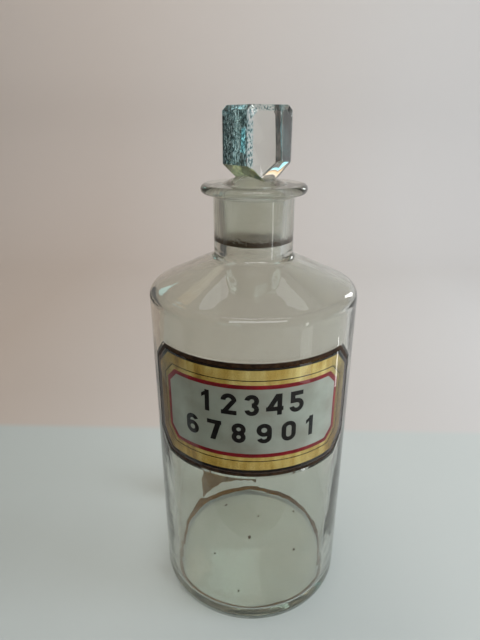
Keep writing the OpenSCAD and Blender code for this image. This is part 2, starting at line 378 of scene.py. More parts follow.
@dataclass(frozen=True)
class GoldLeaf:
    """Beaten gold on the back of the glass. Lemon bright, with upright burnishing strokes and clouds."""

    name: str = "gold_leaf"
    bright: str = "ffe89c"
    middle: str = "dab45a"
    dull: str = "9a7230"
    stroke_mm: float = 3.6
    cloud_mm: float = 14.0
    crinkle_mm: float = 0.9
    crinkle_depth_mm: float = 0.05
    half_w: float = 34.0

    def material(self) -> Material:
        """A metal with strokes about 4 mm apart and crinkles of under 1 mm, with painted shade across it:
        darkest at the left end, lightest near the right end and darker again at that end.

        Returns:
            The material.
        """
        material, tree = new_material(self.name)
        strokes = noise_at(tree, self.stroke_mm, 4, (1, 1, 9))
        clouds = noise_at(tree, self.cloud_mm, 5)
        crinkles = noise_at(tree, self.crinkle_mm, 4, (1, 1, 3))
        tones = add_node(tree, "ShaderNodeMix", {0: 0.55, FLOAT_A: strokes, FLOAT_B: clouds})
        leaf_tones = [(0.32, self.dull), (0.46, self.middle), (0.64, self.bright)]
        leafed = add_node(tree, "ShaderNodeValToRGB", {"Fac": tones}, leaf_tones)
        width = {
            "Value": place_along(tree, "X"), "From Min": -self.half_w * MM, "From Max": self.half_w * MM
        }
        across = add_node(tree, "ShaderNodeMapRange", width)
        # Painted shade across the label: the leaf is multiplied darker towards both ends, most at the
        # left.
        shade_stops_across = [(0.0, "a79d90"), (0.12, "d8d2c8"), (0.6, "f4f2ee"), (0.9, "ffffff"), (1.0, "aaa296")]
        painted_shade_across = add_node(tree, "ShaderNodeValToRGB", {"Fac": across}, shade_stops_across)
        shaded_leaf = add_node(
            tree, "ShaderNodeMix", {0: 1.0, COLOUR_A: leafed, COLOUR_B: painted_shade_across},
            data_type="RGBA", blend_type="MULTIPLY",
        )
        rough = {"Value": clouds, "To Min": 0.3, "To Max": 0.1}
        uneven = add_node(tree, "ShaderNodeMath", {0: crinkles, 1: strokes}, operation="ADD")
        return solid_finish(material, tree, {
            "Base Color": shaded_leaf.outputs[COLOUR_OUT],
            "Metallic": 1.0,
            "Roughness": add_node(tree, "ShaderNodeMapRange", rough),
            "Normal": add_node(tree, "ShaderNodeBump", relief(uneven, self.crinkle_depth_mm)),
        })


@dataclass(frozen=True)
class Paint:
    """Oil paint or japan on the back of glass. Flat, with faint clouds; the glass gives the gloss."""

    name: str
    deep: str
    light: str
    roughness: float = 0.45
    gloss: float = 0.0
    cloud_mm: float = 6.0
    stroke_mm: float = 0.5
    stroke_depth_mm: float = 0.008

    def material(self) -> Material:
        """Paint with slow changes of tone.

        Returns:
            The material.
        """
        material, tree = new_material(self.name)
        clouds = {"Fac": noise_at(tree, self.cloud_mm, 5)}
        strokes = noise_at(tree, self.stroke_mm, 3, (6, 6, 1))
        tones = [(0.3, self.deep), (0.7, self.light)]
        return solid_finish(material, tree, {
            "Base Color": add_node(tree, "ShaderNodeValToRGB", clouds, tones),
            "Roughness": self.roughness,
            "Specular IOR Level": self.gloss,
            "Normal": add_node(tree, "ShaderNodeBump", relief(strokes, self.stroke_depth_mm)),
        })


@dataclass(frozen=True)
class OldPaper:
    """Rag paper browned by age and spills. Matt, with brown clouds and short raised fibres."""

    name: str = "browned_rag_paper"
    stain_mm: float = 7.0
    fibre_mm: float = 0.4
    fibre_depth_mm: float = 0.04

    def material(self) -> Material:
        """Matt paper with brown clouds and fibres about 1 mm long.

        Returns:
            The material.
        """
        material, tree = new_material(self.name)
        stains = {"Fac": noise_at(tree, self.stain_mm, 6)}
        fibres = noise_at(tree, self.fibre_mm, 4, (3, 3, 1))
        browns = [(0.25, "745a38"), (0.5, "8f7049"), (0.75, "a68757")]
        return solid_finish(material, tree, {
            "Base Color": add_node(tree, "ShaderNodeValToRGB", stains, browns),
            "Roughness": 0.85,
            "Normal": add_node(tree, "ShaderNodeBump", relief(fibres, self.fibre_depth_mm)),
        })


@dataclass(frozen=True)
class Residue:
    """Dried tincture: a brown film, thick in places and broken in others."""

    name: str
    colour: str
    dark: str
    cover: tuple[float, float]
    patch_mm: float
    least: float
    most: float
    grain_mm: float = 0.5

    def material(self) -> Material:
        """A film whose patches let the glass show between them.

        Returns:
            The material.
        """
        material, tree = new_material(self.name)
        low, high = self.cover
        patches = {
            "Value": noise_at(tree, self.patch_mm, 6), "From Min": low, "From Max": high,
            "To Min": self.least, "To Max": self.most,
        }
        share = add_node(tree, "ShaderNodeMapRange", patches)
        grains = {"Fac": noise_at(tree, self.grain_mm, 3)}
        tones = [(0.3, self.dark), (0.7, self.colour)]
        film = {
            "Base Color": add_node(tree, "ShaderNodeValToRGB", grains, tones),
            "Roughness": 0.95, "Specular IOR Level": 0.0,
        }
        shader = add_node(tree, "ShaderNodeBsdfPrincipled", film)
        clear = add_node(tree, "ShaderNodeBsdfTransparent")
        mix = add_node(tree, "ShaderNodeMixShader", {0: share, 1: clear, 2: shader})
        add_node(tree, "ShaderNodeOutputMaterial", {"Surface": mix})
        return material


# ---------------------------------------------------------------- mesh making


def arc(cx: float, cy: float, r: float, a0: float, a1: float, steps: int = 8) -> Profile:
    """Points along an arc about (cx, cy), from angle a0 to a1 in degrees.

    Args:
        cx: Its middle, first coordinate.
        cy: Its middle, second coordinate.
        r: Its radius.
        a0: Angle of the first point.
        a1: Angle of the last point.
        steps: Stretches between them.

    Returns:
        The points in order.
    """
    angles = [math.radians(a0 + (a1 - a0) * i / steps) for i in range(steps + 1)]
    return [(cx + r * math.cos(a), cy + r * math.sin(a)) for a in angles]


def spaced(profile: Profile, longest: float) -> Profile:
    """Add points so that no stretch of a profile is longer than longest.

    Args:
        profile: Points in order.
        longest: Longest stretch that may stay, in millimetres.

    Returns:
        The profile with the points added.
    """
    done = [profile[0]]
    for (x0, y0), (x1, y1) in zip(profile, profile[1:]):
        count = max(1, math.ceil(math.hypot(x1 - x0, y1 - y0) / longest))
        done += [(x0 + (x1 - x0) * i / count, y0 + (y1 - y0) * i / count) for i in range(1, count + 1)]
    return done


def turned(mesh: Mesh, profile: Profile, segments: int) -> list[list]:
    """Turn a profile of (radius, height) about Z into quads.

    Args:
        mesh: The mesh that gets the faces.
        profile: Points in millimetres; a radius of 0 makes a pole.
        segments: Steps round the axis.

    Returns:
        The rings of vertices, one for each point.
    """
    rings = []
    for r, z in profile:
        if r < 1e-6:
            rings.append([mesh.verts.new((0, 0, z * MM))] * segments)
            continue
        turns = [2 * math.pi * i / segments for i in range(segments)]
        spots = [(r * math.sin(t) * MM, -r * math.cos(t) * MM, z * MM) for t in turns]
        rings.append([mesh.verts.new(spot) for spot in spots])
    for low, high in zip(rings, rings[1:]):
        for i in range(segments):
            j = (i + 1) % segments
            corners = list(dict.fromkeys([low[i], low[j], high[j], high[i]]))
            if len(corners) > 2:
                mesh.faces.new(corners)
    return rings


def finish_mesh(mesh: Mesh, name: str, materials: list[Material], sharp_deg: float = 35) -> Piece:
    """Turn a bmesh into a shaded object.

    Args:
        mesh: The finished mesh, which is freed.
        name: Name of the piece.
        materials: Its material slots, in order.
        sharp_deg: Edges that turn more than this stay crisp.

    Returns:
        The linked object.
    """
    bmesh.ops.recalc_face_normals(mesh, faces=mesh.faces)
    for face in mesh.faces:
        face.smooth = True
    for edge in mesh.edges:
        if len(edge.link_faces) == 2:
            edge.smooth = edge.calc_face_angle(0) < math.radians(sharp_deg)
    data = bpy.data.meshes.new(name)
    mesh.to_mesh(data)
    mesh.free()
    for material in materials:
        data.materials.append(material)
    piece = bpy.data.objects.new(name, data)
    bpy.context.scene.collection.objects.link(piece)
    return piece


def settle(piece: Piece, body: Body, slot: str, *nodes: str) -> None:
    """Put a piece on its body and hide the CAD nodes that it stands for.

    Args:
        piece: The finished piece.
        body: The rigid body that it moves with.
        slot: Not used.
        nodes: The CAD nodes that it stands for.
    """
    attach(piece, body.value)
    if nodes:
        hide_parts(*nodes)
    LOG.info("%s rides on %s: %d faces", piece.name, body.value, len(piece.data.polygons))


# ---------------------------------------------------------------- the bottle


@dataclass
class ShopRoundBottle:
    """The blown bottle: foot, wall with its sunk panel, shoulder, neck and rolled lip."""

    wall_low: float = 4.3
    wall_high: float = 2.6
    base_t: float = 4.6
    punt_h: float = 1.8
    heel_round: float = 3.7
    foot_ring: float = 3.0
    shoulder_z: float = 138.6
    shoulder_round: float = 5.0
    shoulder_slope: float = 25.0
    neck_root_r: float = 15.3
    neck_top_r: float = 15.2
    neck_blend: float = 2.4
    throat_blend: float = 4.0
    lip_r: float = 19.9
    lip_round: float = 1.7
    lip_slope: float = 20.0
    plug_r: float = 11.9
    plug_taper: float = 0.05
    plug_l: float = 21.5
    mouth_round: float = 0.7
    plug_gap: float = 0.05
    inner_corner: float = 2.2
    dish_steps: int = 6
    segments: int = 256
    body_r: float = field(init=False)
    lip_z: float = field(init=False)
    base_rim_r: float = field(init=False)

    def __post_init__(self) -> None:
        """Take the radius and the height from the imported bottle."""
        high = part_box("bottle")[1]
        self.body_r = round(high.x / MM, 2)
        self.lip_z = round(high.z / MM, 2)
        self.base_rim_r = self.body_r - self.wall_low - self.inner_corner

    def dish(self, share: float) -> float:
        """Height of the punt over its edge, at a share of the way from the axis to that edge."""
        return self.punt_h * (1 - share**2)

    def flank(self, r: float, inset: float = 0) -> float:
        """Height of the shoulder's flank at radius r, moved in across the glass by inset.

        Args:
            r: Distance from the axis.
            inset: Distance in from the outer surface, square to it.

        Returns:
            The height, in millimetres.
        """
        slope = math.radians(self.shoulder_slope)
        turn = math.radians(90) - slope
        start_r = self.body_r - self.shoulder_round * (1 - math.cos(turn))
        start_z = self.shoulder_z + self.shoulder_round * math.sin(turn)
        return start_z + (start_r - r) * math.tan(slope) - inset / math.cos(slope)

    def root(self, r: float, blend: float, inset: float = 0) -> Profile:
        """Blend from the flank to an upright wall of radius r.

        Args:
            r: The wall's radius.
            blend: The blend's radius.
            inset: Distance of the flank in from the outer surface.

        Returns:
            The points of the blend, from the flank up.
        """
        slope = self.shoulder_slope
        centre_z = self.flank(r + blend, inset) + blend / math.cos(math.radians(slope))
        return arc(r + blend, centre_z, blend, 270 - slope, 180, 10)

    def outer_profile(self) -> Profile:
        """The outside, from the middle of the foot to the top of the mouth.

        Returns:
            Points in order.
        """
        steps, heel, bend, lip = self.dish_steps, self.heel_round, self.shoulder_round, self.lip_round
        foot_r = self.body_r - heel - self.foot_ring
        rise = [(foot_r * i / steps, self.dish(i / steps)) for i in range(steps + 1)]
        tilt = math.radians(self.lip_slope)
        fillet = 0.5
        fillet_r = self.neck_top_r + fillet
        under_r = self.lip_r - lip * (1 - math.sin(tilt))
        under_z = self.lip_z - lip * (1 + math.cos(tilt))
        fillet_z = under_z - (under_r - fillet_r) * math.tan(tilt) - fillet / math.cos(tilt)
        return (
            rise
            + arc(self.body_r - heel, heel, heel, -90, 0, 10)
            + arc(self.body_r - bend, self.shoulder_z, bend, 0, 90 - self.shoulder_slope, 12)
            + self.root(self.neck_root_r, self.neck_blend)
            + arc(fillet_r, fillet_z, fillet, 180, 90 + self.lip_slope, 5)
            + arc(self.lip_r - lip, self.lip_z - lip, lip, self.lip_slope - 90, 90, 20)
        )

    def inner_profile(self) -> Profile:
        """The inside, from the mouth down to the middle of the base.

        Returns:
            Points in order.
        """
        steps, bend, rim = self.dish_steps, self.mouth_round, self.base_rim_r
        bore_low_r = self.plug_r - self.plug_taper * self.plug_l + self.plug_gap
        bore_high_r = self.plug_r + self.plug_gap
        under = self.shoulder_round - self.wall_high
        base = [(rim * k / steps, self.base_t + self.dish(k / steps)) for k in range(steps - 1, -1, -1)]
        return (
            arc(bore_high_r + bend, self.lip_z - bend, bend, 90, 180, 6)
            + [(bore_low_r, self.lip_z - self.plug_l)]
            + self.root(bore_low_r, self.throat_blend, self.wall_high)[::-1]
            + arc(
                self.body_r - self.shoulder_round, self.shoulder_z, under,
                90 - self.shoulder_slope, 0, 10,
            )
            + arc(rim, self.base_t + self.inner_corner, self.inner_corner, 0, -90, 8)
            + base
        )

    def sway(self, angle: float, z: float, inside: bool) -> float:
        """How far hand-blown glass strays from its true radius, in millimetres.

        Args:
            angle: Place round the axis, in radians.
            z: Height.
            inside: Whether it is the inner surface, which strays more.

        Returns:
            The distance; nothing at the foot and from the neck up.
        """
        seed, amount = (7.3, 0.16) if inside else (1.1, 0.06)
        waves, wave_mm = 2.2, 26
        place = Vector((waves * math.cos(angle), waves * math.sin(angle), z / wave_mm + seed))
        still_low, still_high, fade_mm = 2, 152, 8
        above, below = (z - still_low) / fade_mm, (still_high - z) / fade_mm
        fade = min(1.0, max(0.0, above)) * min(1.0, max(0.0, below))
        return amount * fade * noise.noise(place)

    def build(self, panel: "LabelPanel") -> Mesh:
        """Turn the bottle, and sink the label's panel into its wall.

        Args:
            panel: The label's panel, which gives the recess.

        Returns:
            The closed mesh.
        """
        mesh = bmesh.new()
        step = 2 * math.pi / self.segments
        outer, inner = self.outer_profile(), self.inner_profile()
        low, high = panel.patch_z
        split = next(i for i, (r, z) in enumerate(outer) if r == self.body_r and z > self.heel_round + 1)
        wall = [(self.body_r, low), (self.body_r, high)]
        foot_gap, low_gap, panel_gap, high_gap, inner_gap = 2.5, 4, 3.2, 1.6, 2.6
        rows = spaced(outer[:split], foot_gap) + spaced([outer[split - 1], wall[0]], low_gap)[1:]
        patch_first = len(rows) - 1
        rows += spaced(wall, panel_gap)[1:]
        patch_last = len(rows) - 1
        rows += spaced([wall[1]] + outer[split:], high_gap)[1:]
        rows += spaced([outer[-1]] + inner, inner_gap)[1:]
        rings = turned(mesh, rows, self.segments)
        half = panel.patch_columns
        gap = rings[patch_first : patch_last + 1]
        dropped = []
        for low_ring, high_ring in zip(gap, gap[1:]):
            for i in [*range(half), *range(self.segments - half, self.segments)]:
                j = (i + 1) % self.segments
                face = mesh.faces.get([low_ring[i], low_ring[j], high_ring[j], high_ring[i]])
                if face:
                    dropped.append(face)
        bmesh.ops.delete(mesh, geom=dropped, context="FACES")
        panel.sink(mesh, [z for _, z in rows[patch_first : patch_last + 1]], step)
        bmesh.ops.remove_doubles(mesh, verts=mesh.verts, dist=1e-6)
        loose = [v for v in mesh.verts if not v.link_faces]
        bmesh.ops.delete(mesh, geom=loose, context="VERTS")
        self.shake(mesh)
        return mesh

    def shake(self, mesh: Mesh) -> None:
        """Give the turned walls the unevenness of blown glass.

        Args:
            mesh: The bottle's mesh, which is changed.
        """
        half_wall, half_shoulder, neck_r = 2.2, 1.3, 20
        for vert in mesh.verts:
            x, y, z = vert.co / MM
            r = math.hypot(x, y)
            if r < neck_r:
                continue
            in_shoulder = self.shoulder_z < z < self.flank(r) - half_shoulder
            inside = r < self.body_r - half_wall or in_shoulder
            wider = 1 + self.sway(math.atan2(y, x), z, inside) / r
            vert.co.x *= wider
            vert.co.y *= wider

    def dress(self, panel: "LabelPanel") -> None:
        """Make the bottle and its glass.

        Args:
            panel: The label's panel, which gives the recess.
        """
        glass = BlownGlass(
            "blown_soda_glass", depth_tint="cbcbbf", ground=GroundGlass("ground_neck"),
            ground_r=self.plug_r + 0.25, ground_z=self.lip_z - self.plug_l,
        )
        piece = finish_mesh(self.build(panel), "blown_bottle", [glass.material()], 18)
        settle(piece, Body.BOTTLE, "bottle_glass", "bottle")


# ---------------------------------------------------------------- the label


@dataclass
class LabelPanel:
    """The label let into the wall: recess, cement, painting and curved cover glass."""

    body_r: float
    middle_z: float = 102.7
    glass_hw: float = 43.3
    glass_hh: float = 22.1
    glass_cut: float = 6.9
    recess_d: float = 1.3
    cement_w: float = 1.5
    cement_t: float = 0.25
    arris_w: float = 0.8
    arris_d: float = 0.35
    paint_t: float = 0.1
    outline_in: float = 1.3
    hairline_in: float = 5.1
    hairline_w: float = 0.35
    red_in: float = 7.0
    red_w: float = 1.6
    patch_z: tuple[float, float] = (75.0, 130.4)
    patch_columns: int = 50

    def extent(self, inset: float) -> tuple[float, float, float]:
        """Half width, half height and corner cut of the outline, inset from the cover glass's edge."""
        narrowing, least_cut = 0.35, 2
        cut = max(self.glass_cut - narrowing * inset, least_cut)
        return self.glass_hw - inset, self.glass_hh - inset, cut

    def outline(self, inset: float, longest: float) -> Profile:
        """The panel's outline in (arc length, height), inset evenly, corners cut at 45 degrees.

        Args:
            inset: Distance in from the cover glass's edge; below zero it grows.
            longest: Longest stretch between points.

        Returns:
            Points in order, without repeating the first.
        """
        hw, hh, cut = self.extent(inset)
        corners = [
            (-hw, cut - hh), (cut - hw, -hh), (hw - cut, -hh), (hw, cut - hh),
            (hw, hh - cut), (hw - cut, hh), (cut - hw, hh), (-hw, hh - cut),
        ]
        points = []
        for (s0, z0), (s1, z1) in zip(corners, corners[1:] + corners[:1]):
            count = max(1, round(math.hypot(s1 - s0, z1 - z0) / longest))
            points += [(s0 + (s1 - s0) * i / count, z0 + (z1 - z0) * i / count) for i in range(count)]
        return [(s, z + self.middle_z) for s, z in points]

    def inside(self, s: float, z: float, inset: float) -> bool:
        """Whether a place on the wall lies within the outline at this inset.

        Args:
            s: Arc length from the middle of the label.
            z: Height.
            inset: Distance in from the cover glass's edge.

        Returns:
            True inside.
        """
        hw, hh, cut = self.extent(inset)
        a, b = abs(s), abs(z - self.middle_z)
        return a < hw and b < hh and a + b < hw + hh - cut

    def place(self, s: float, z: float, r: float) -> Vector:
        """A place on the wall, at radius r, as a point in metres."""
        turn = s / self.body_r
        return Vector((r * math.sin(turn), -r * math.cos(turn), z)) * MM

    def sink(self, mesh: Mesh, heights: list[float], step: float) -> None:
        """Fill the gap left in the turned wall with a wall that has the recess in it.

        Args:
            mesh: The bottle's mesh, without faces where the label goes.
            heights: Heights of the rings across the gap.
            step: Angle between the turned wall's columns.
        """
        columns = [i * step * self.body_r for i in range(-self.patch_columns, self.patch_columns + 1)]
        between, clear = 1.2, 0.4
        edge = self.outline(-self.cement_w, between)
        brink = self.outline(-self.cement_w - self.arris_w, between)
        count, rest = len(edge), len(brink)
        points = [Vector(p) for p in edge + brink]
        links = [(i, (i + 1) % count) for i in range(count)]
        round_links = [(count + i, count + (i + 1) % rest) for i in range(rest)]
        for s in columns:
            for z in heights:
                rim = s in (columns[0], columns[-1]) or z in (heights[0], heights[-1])
                gaps = ((p.x - s) ** 2 + (p.y - z) ** 2 for p in points[: count + rest])
                if rim or min(gaps) > clear:
                    points.append(Vector((s, z)))
        flat, _, faces, _, _, _ = delaunay_2d_cdt(points, links + round_links, [], 0, 1e-7)
        deep = self.body_r - self.recess_d
        near = [mesh.verts.new(self.place(p.x, p.y, self.body_r)) for p in flat]
        far = [mesh.verts.new(self.place(p.x, p.y, deep)) for p in flat]
        for corners in faces:
            s = sum(flat[i].x for i in corners) / len(corners)
            z = sum(flat[i].y for i in corners) / len(corners)
            layer = far if self.inside(s, z, -self.cement_w) else near
            mesh.faces.new([layer[i] for i in corners])
        for i in range(count):
            near[i].co = self.place(flat[i].x, flat[i].y, self.body_r - self.arris_d)
        for i, j in links:
            mesh.faces.new([near[i], near[j], far[j], far[i]])

    def plate(self, mesh: Mesh, inset: float, r0: float, r1: float, bonded: bool = False) -> None:
        """Add a curved plate that fills the outline at this inset.

        Args:
            mesh: The mesh that gets the plate.
            inset: Distance in from the cover glass's edge.
            r0: Radius of its back.
            r1: Radius of its front.
            bonded: Leave the back open, where glass and paint touch and no light is turned back.
        """
        columns, rows = 72, 12
        hw, hh, cut = self.extent(inset)
        even = {round(-hw + 2 * hw * i / columns, 6) for i in range(columns + 1)}
        spots = sorted(even | {cut - hw, hw - cut})
        layers = []
        for r in (r0, r1):
            grid = []
            for s in spots:
                tall = hh - max(0.0, abs(s) - (hw - cut))
                steps = [self.middle_z + tall * (2 * k / rows - 1) for k in range(rows + 1)]
                grid.append([mesh.verts.new(self.place(s, z, r)) for z in steps])
            layers.append(grid)
        low, high = layers
        last = len(spots) - 1
        for grid in [high] if bonded else layers:
            for a, b in zip(grid, grid[1:]):
                for k in range(rows):
                    mesh.faces.new([a[k], b[k], b[k + 1], a[k + 1]])
        for i in range(last):
            for k in (0, rows):
                mesh.faces.new([low[i][k], low[i + 1][k], high[i + 1][k], high[i][k]])
        for i in (0, last):
            for k in range(rows):
                mesh.faces.new([low[i][k], low[i][k + 1], high[i][k + 1], high[i][k]])

    def band(self, mesh: Mesh, inset0: float, inset1: float, r0: float, r1: float) -> None:
        """Add a closed band between two insets, from radius r0 to r1.

        Args:
            mesh: The mesh that gets the band.
            inset0: Inset of its outer edge.
            inset1: Inset of its inner edge.
            r0: Radius of its back.
            r1: Radius of its front.
        """
        reference = self.outline(inset0, 1.0)
        hw0, hh0, cut0 = self.extent(inset0)
        hw1, hh1, cut1 = self.extent(inset1)
        loops, inner, hair = [], [], 1e-6
        for s, z in reference:
            b = z - self.middle_z
            side, up = math.copysign(1, s), math.copysign(1, b)
            a, h = abs(s), abs(b)
            if a > hw0 - hair and h <= hh0 - cut0 + hair:
                point = (side * hw1, up * h / (hh0 - cut0) * (hh1 - cut1))
            elif h > hh0 - hair and a <= hw0 - cut0 + hair:
                point = (side * a / (hw0 - cut0) * (hw1 - cut1), up * hh1)
            else:
                t = (a - (hw0 - cut0)) / cut0
                point = (side * (hw1 - cut1 + t * cut1), up * (hh1 - t * cut1))
            inner.append((point[0], point[1] + self.middle_z))
        for r in (r0, r1):
            for path in (reference, inner):
                loops.append([mesh.verts.new(self.place(s, z, r)) for s, z in path])
        count = len(reference)
        order = [loops[0], loops[1], loops[3], loops[2]]
        for a, b in zip(order, order[1:] + order[:1]):
            for i in range(count):
                j = (i + 1) % count
                mesh.faces.new([a[i], a[j], b[j], b[i]])

    def piece(
        self, name: str, material: Material, shape: Callable[..., None], sizes: tuple,
        slot: str, *nodes: str,
    ) -> None:
        """Make one layer of the label and settle it on the bottle.

        Args:
            name: The piece's name.
            material: Its finish.
            shape: The method that adds it to a mesh.
            sizes: What that method takes after the mesh.
            slot: The record's material slot.
            nodes: The CAD nodes that it stands for.
        """
        mesh = bmesh.new()
        shape(mesh, *sizes)
        settle(finish_mesh(mesh, name, [material], 50), Body.BOTTLE, slot, *nodes)

    def dress(self) -> None:
        """Make the cement, the painting and the cover glass.

        Layers stand a few hundredths of a millimetre apart, so that no two faces coincide.
        """
        recess_r = self.body_r - self.recess_d + 0.02
        paint_r = self.body_r - self.recess_d + self.cement_t
        cover_r = paint_r + self.paint_t
        bed_in, bed_r, rim_r = -self.cement_w + 0.03, paint_r - 0.02, self.body_r - 0.25
        front_r, top_r = cover_r - 0.01, self.body_r + 0.1
        cement = Paint("brown_shellac_cement", "1c0f07", "4c3520", 0.5, 0.15, 2.0, stroke_depth_mm=0.05)
        black = Paint("black_japan", "060302", "0e0907").material()
        red = Paint("dark_red_oil_paint", "780614", "9c0f20").material()
        ground = Paint("grey_green_oil_paint", "a6a596", "bcc2b4", cloud_mm=9.0).material()
        cover = BlownGlass(
            "label_sheet_glass", "fafbf9", ripple_mm=14.0, ripple_depth_mm=0.01, bloom=0.004
        ).material()
        gold, cement = GoldLeaf().material(), cement.material()
        hair_end = self.hairline_in + self.hairline_w
        red_end = self.red_in + self.red_w
        self.piece("cement_bed", cement, self.plate, (bed_in, recess_r, bed_r), "brown_cement")
        self.piece(
            "cement_rim", cement, self.band, (bed_in, 0.03, bed_r, rim_r), "brown_cement", "label_cement"
        )
        painted = (
            ("black_outline", black, 0.3, self.outline_in, "black_paint", "label_outline"),
            ("gold_outer_band", gold, self.outline_in, self.hairline_in, "gold_leaf", "gold_leaf_outer"),
            ("black_hairline", black, self.hairline_in, hair_end, "black_paint", "label_hairline"),
            ("gold_inner_band", gold, hair_end, self.red_in, "gold_leaf", "gold_leaf_inner"),
            ("red_border_line", red, self.red_in, red_end, "red_paint", "red_line"),
        )
        for name, finish, start, end, slot, node in painted:
            self.piece(name, finish, self.band, (start, end, paint_r, front_r), slot, node)
        self.piece(
            "painted_ground", ground, self.plate, (red_end, paint_r, cover_r - 0.03),
            "ground_paint", "label_ground",
        )
        self.piece(
            "curved_label_glass", cover, self.plate, (0.0, cover_r + 0.01, top_r, True),
            "label_cover_glass", "label_glass",
        )
        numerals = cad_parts["label_numerals"]
        numerals.data.materials.clear()
        numerals.data.materials.append(black)


# ---------------------------------------------------------------- the stopper


